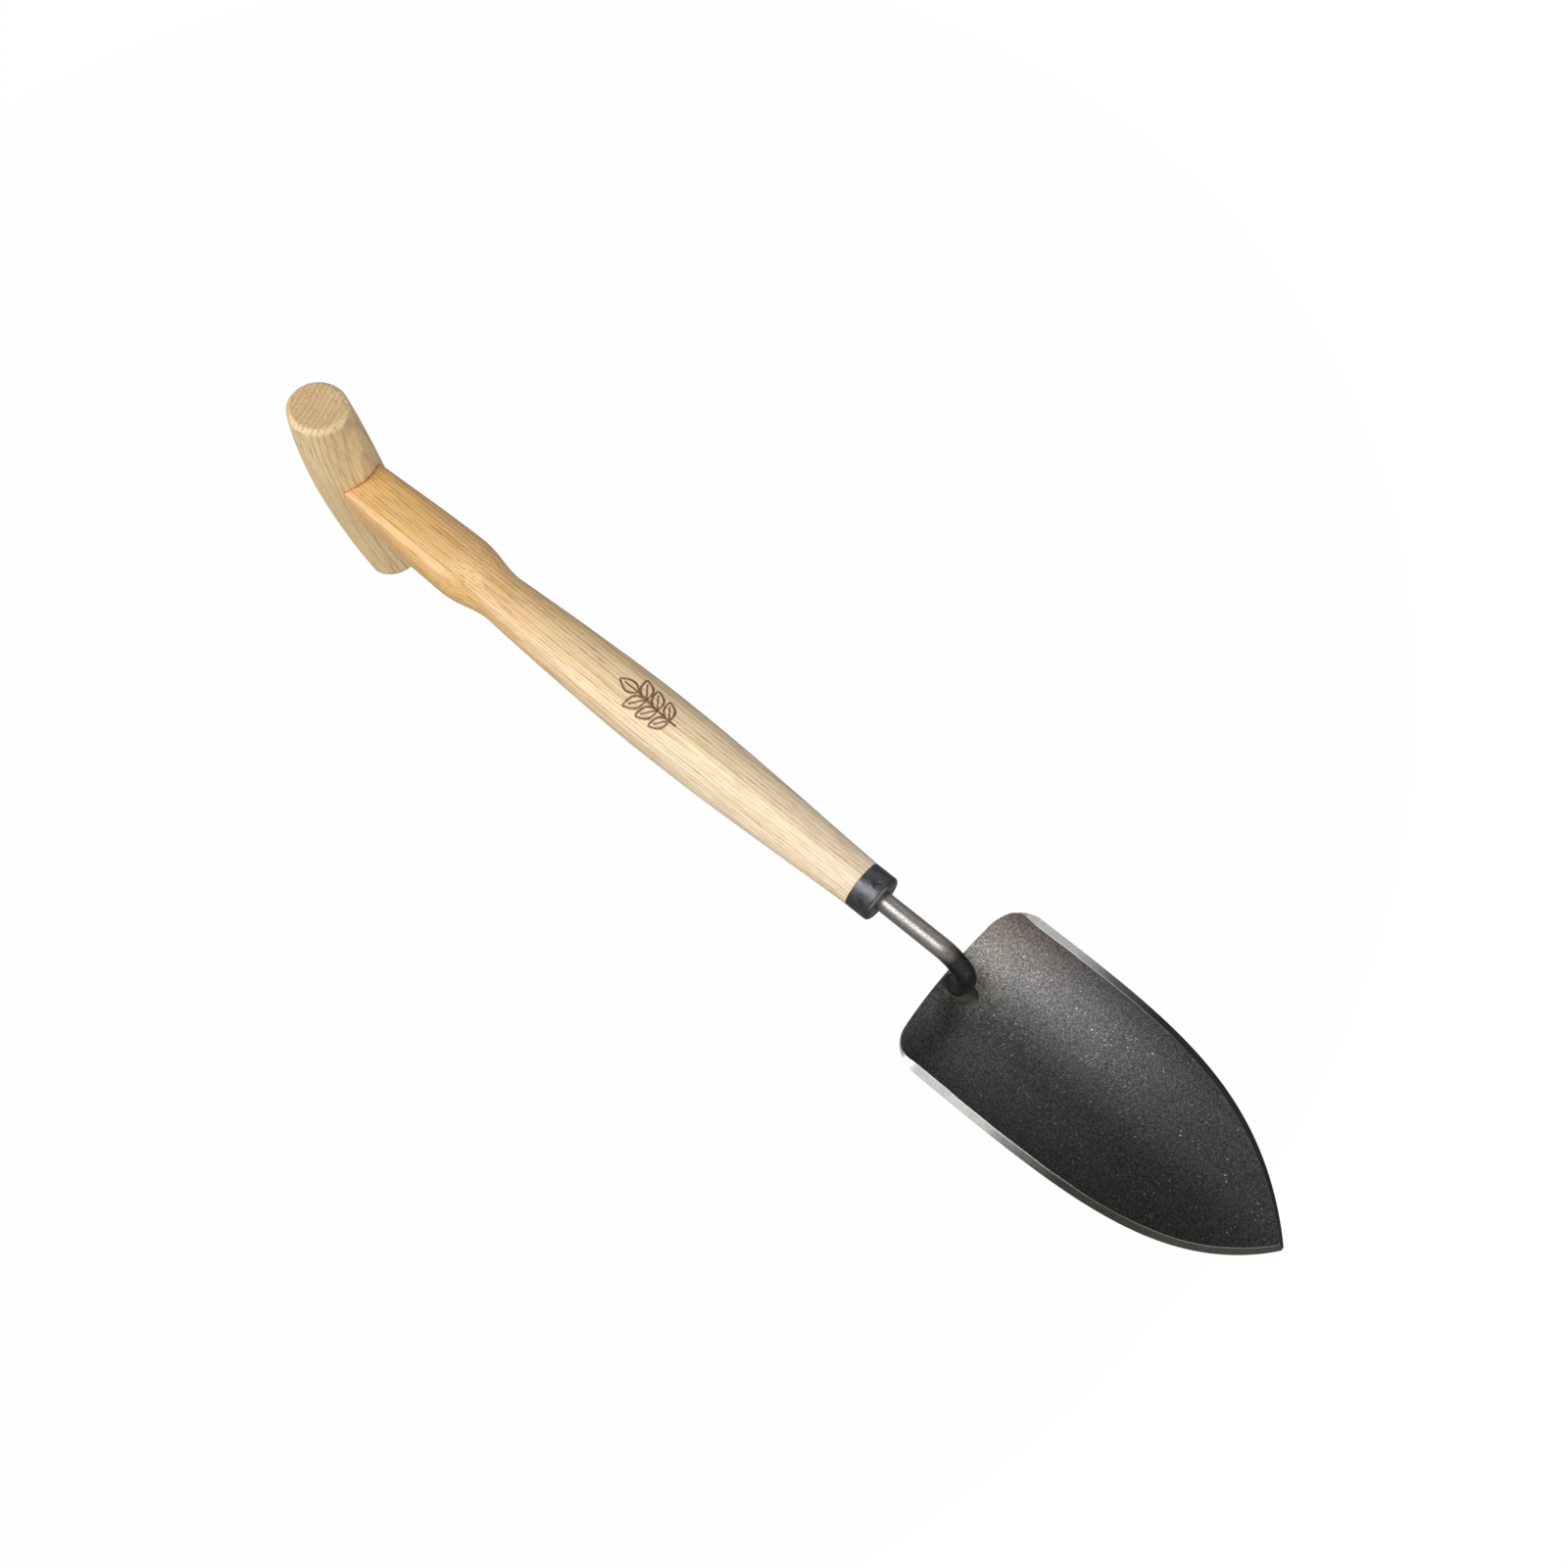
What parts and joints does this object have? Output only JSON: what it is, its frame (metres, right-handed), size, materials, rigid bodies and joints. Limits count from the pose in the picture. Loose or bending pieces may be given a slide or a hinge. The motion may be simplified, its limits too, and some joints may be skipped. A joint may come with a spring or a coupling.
{
  "type": "hand transplanter",
  "caption": "Short garden trowel with a deep pointed trough blade on a cranked round tang, a ferruled turned wooden shaft and a bent wooden crosspiece grip.",
  "frame": {"origin": "centre of the footprint, level with the lowest point of the crosspiece", "axes": "+X along the shaft from the crosspiece to the tip of the blade, +Y across the blade, +Z out of the hollow of the blade"},
  "size_m": [0.5414, 0.084, 0.1206],
  "materials": {
    "blade_steel": "dark oxide, matt, with bright ground bevels",
    "tang_steel": "polished bar, darkened at the elbow",
    "weld_steel": "brown, as welded",
    "ferrule_steel": "blackened",
    "shaft_ash": "clear lacquer",
    "crosspiece_ash": "clear lacquer",
    "dowel_beech": "plain, glued in"
  },
  "bodies": {
    "root": {"blade": "blade_steel", "tang": "tang_steel", "weld_bead": "weld_steel", "ferrule": "ferrule_steel", "ferrule_nail": "ferrule_steel", "handle_shaft": "shaft_ash", "crosspiece": "crosspiece_ash", "joint_dowel": "dowel_beech"}
  },
  "joints": []
}
